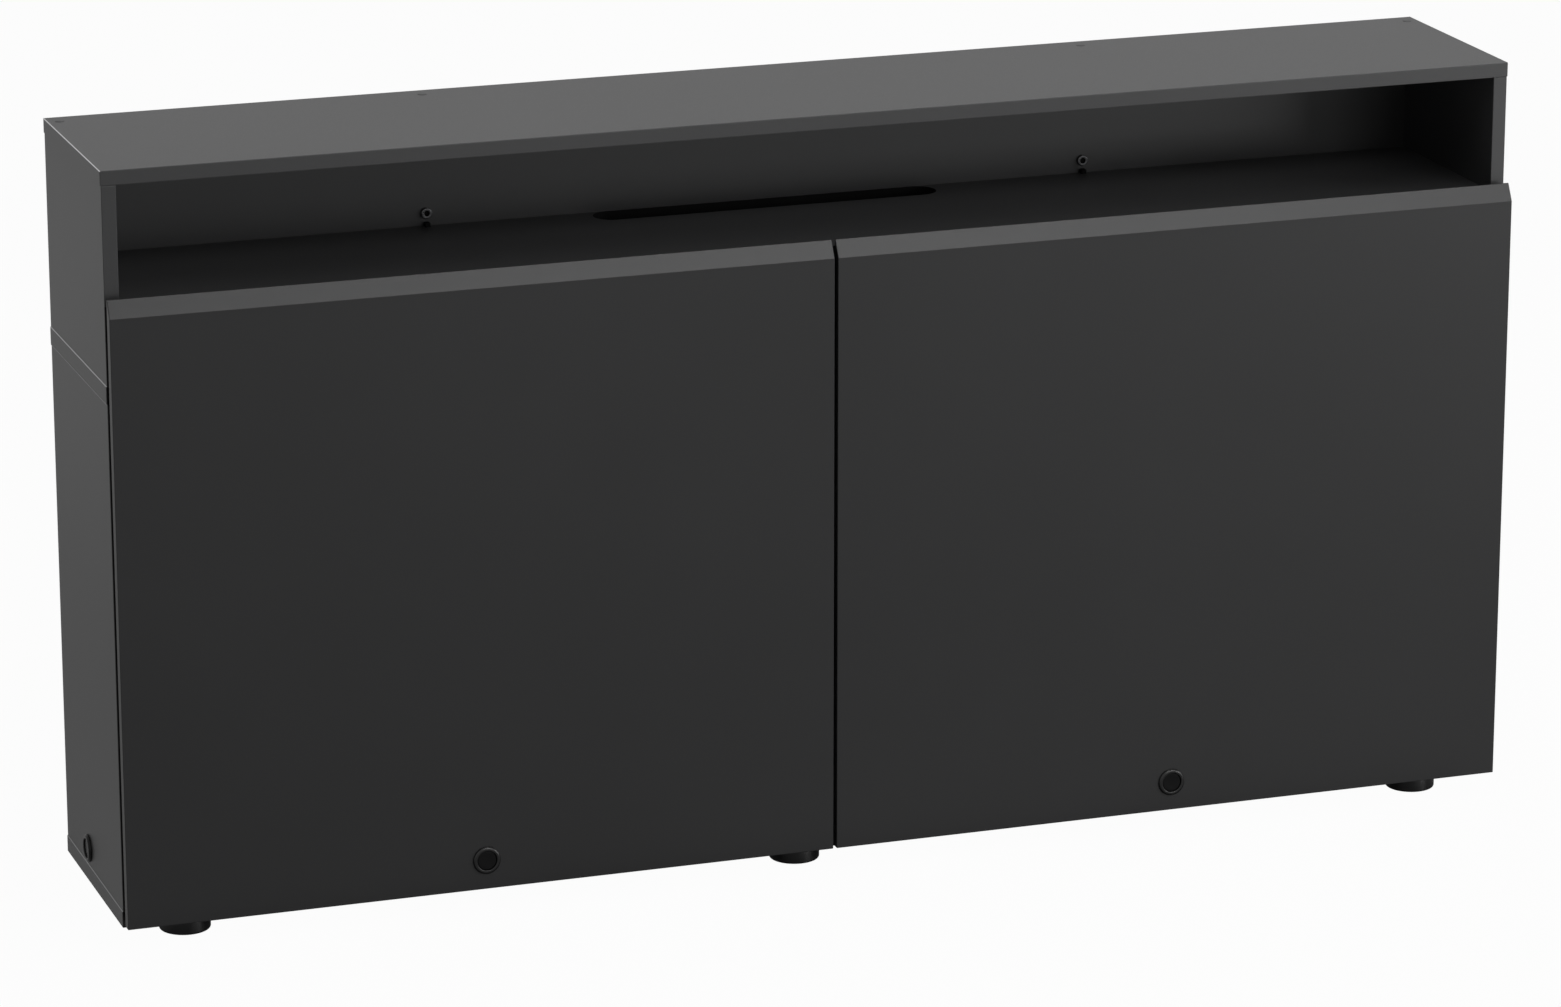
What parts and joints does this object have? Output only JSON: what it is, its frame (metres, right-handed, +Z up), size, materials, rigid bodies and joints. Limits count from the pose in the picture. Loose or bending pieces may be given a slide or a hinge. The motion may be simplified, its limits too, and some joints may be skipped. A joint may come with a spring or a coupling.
{
  "type": "low cabinet with lift-up flaps",
  "caption": "Long low cabinet on round feet: an open niche with a cable slot above two top-hinged flaps with bevelled top edges, pull knobs and round cable ports.",
  "frame": {"origin": "centre of the overall box at floor level", "axes": "+X to the right along the width, +Y from the flaps to the wall, +Z up"},
  "size_m": [1.6054, 0.2874, 0.8512],
  "materials": {
    "board": "satin anthracite melamine",
    "flap_board": "satin anthracite lacquer",
    "board_caps": "satin",
    "black_plastic": "matte",
    "port_plastic": "fine matte",
    "foot_plastic": "matte",
    "black_metal": "satin black",
    "zinc_steel": "zinc plated",
    "nickel_steel": "nickel plated",
    "polished_rod": "polished",
    "soft_bumper": "soft"
  },
  "bodies": {
    "cabinet": {"top_board": "board", "mid_board": "board", "bottom_board": "board", "upper_side_left": "board", "upper_side_right": "board", "lower_side_left": "board", "lower_side_right": "board", "niche_shelf": "board", "niche_back_board": "board", "lower_back_panel": "board", "centre_divider": "board", "loose_shelf_left": "board", "loose_shelf_right": "board", "top_caps": "board_caps", "connector_bolts": "black_metal", "shelf_blocks": "black_plastic", "cable_slot_liner": "black_plastic", "carcass_screws": "zinc_steel", "shelf_pins": "nickel_steel", "foot_sockets": "black_plastic", "hinge_pins": "zinc_steel", "strut_wall_brackets": "black_metal", "magnet_catches": "black_plastic", "bumpers": "soft_bumper", "port_bushings": "port_plastic", "frame_leaves_left": "nickel_steel", "frame_leaves_right": "nickel_steel"},
    "flap_left": {"flap_left": "flap_board", "flap_leaves_left": "nickel_steel", "strut_flap_bracket_left": "black_metal", "strike_plates_left": "zinc_steel", "knob_housing_left": "port_plastic"},
    "knob_left": {"knob_button_left": "port_plastic"},
    "port_left": {"port_plug_left": "port_plastic"},
    "strut_tube_left": {"strut_tube_left": "black_metal"},
    "strut_rod_left": {"strut_rod_left": "polished_rod"},
    "flap_right": {"flap_right": "flap_board", "flap_leaves_right": "nickel_steel", "strut_flap_bracket_right": "black_metal", "strike_plates_right": "zinc_steel", "knob_housing_right": "port_plastic"},
    "knob_right": {"knob_button_right": "port_plastic"},
    "port_right": {"port_plug_right": "port_plastic"},
    "strut_tube_right": {"strut_tube_right": "black_metal"},
    "strut_rod_right": {"strut_rod_right": "polished_rod"},
    "foot_front_left": {"foot_front_left": "foot_plastic"},
    "foot_rear_left": {"foot_rear_left": "foot_plastic"},
    "foot_front_centre": {"foot_front_centre": "foot_plastic"},
    "foot_rear_centre": {"foot_rear_centre": "foot_plastic"},
    "foot_front_right": {"foot_front_right": "foot_plastic"},
    "foot_rear_right": {"foot_rear_right": "foot_plastic"}
  },
  "joints": [
    {"name": "flap_left_lift", "type": "hinge", "parent": "cabinet", "child": "flap_left", "pos_m": [-0.40075, -0.1235, 0.7105], "axis": [-1, 0, 0], "range_deg": [0, 80]},
    {"name": "strut_tube_left_swing", "type": "hinge", "parent": "cabinet", "child": "strut_tube_left", "pos_m": [-0.7632, 0.07175, 0.381], "axis": [1, 0, 0], "range_deg": [0, 7.1]},
    {"name": "strut_rod_left_slide", "type": "slide", "parent": "strut_tube_left", "child": "strut_rod_left", "axis": [0, -0.677, 0.736], "range_m": [0, 0.183]},
    {"name": "knob_left_pull", "type": "slide", "parent": "flap_left", "child": "knob_left", "axis": [0, -1, 0], "range_m": [0, 0.01]},
    {"name": "port_left_pull", "type": "slide", "parent": "cabinet", "child": "port_left", "axis": [-1, 0, 0], "range_m": [0, 0.012]},
    {"name": "flap_right_lift", "type": "hinge", "parent": "cabinet", "child": "flap_right", "pos_m": [0.40075, -0.1235, 0.7105], "axis": [-1, 0, 0], "range_deg": [0, 80]},
    {"name": "strut_tube_right_swing", "type": "hinge", "parent": "cabinet", "child": "strut_tube_right", "pos_m": [0.7632, 0.07175, 0.381], "axis": [1, 0, 0], "range_deg": [0, 7.1]},
    {"name": "strut_rod_right_slide", "type": "slide", "parent": "strut_tube_right", "child": "strut_rod_right", "axis": [0, -0.677, 0.736], "range_m": [0, 0.183]},
    {"name": "knob_right_pull", "type": "slide", "parent": "flap_right", "child": "knob_right", "axis": [0, -1, 0], "range_m": [0, 0.01]},
    {"name": "port_right_pull", "type": "slide", "parent": "cabinet", "child": "port_right", "axis": [1, 0, 0], "range_m": [0, 0.012]},
    {"name": "foot_front_left_turn", "type": "hinge", "parent": "cabinet", "child": "foot_front_left", "pos_m": [-0.723, -0.08025, 0], "axis": [0, 0, 1], "continuous": true},
    {"name": "foot_rear_left_turn", "type": "hinge", "parent": "cabinet", "child": "foot_rear_left", "pos_m": [-0.723, 0.10375, 0], "axis": [0, 0, 1], "continuous": true},
    {"name": "foot_front_centre_turn", "type": "hinge", "parent": "cabinet", "child": "foot_front_centre", "pos_m": [-0.027, -0.08025, 0], "axis": [0, 0, 1], "continuous": true},
    {"name": "foot_rear_centre_turn", "type": "hinge", "parent": "cabinet", "child": "foot_rear_centre", "pos_m": [-0.027, 0.10375, 0], "axis": [0, 0, 1], "continuous": true},
    {"name": "foot_front_right_turn", "type": "hinge", "parent": "cabinet", "child": "foot_front_right", "pos_m": [0.723, -0.08025, 0], "axis": [0, 0, 1], "continuous": true},
    {"name": "foot_rear_right_turn", "type": "hinge", "parent": "cabinet", "child": "foot_rear_right", "pos_m": [0.723, 0.10375, 0], "axis": [0, 0, 1], "continuous": true}
  ],
  "couplings": [
    {"joint": "strut_tube_left_swing", "follows": "flap_left_lift", "ratio": 0.087797},
    {"joint": "strut_rod_left_slide", "follows": "flap_left_lift", "m_per_rad": 0.1297},
    {"joint": "strut_tube_right_swing", "follows": "flap_right_lift", "ratio": 0.087797},
    {"joint": "strut_rod_right_slide", "follows": "flap_right_lift", "m_per_rad": 0.1297}
  ]
}
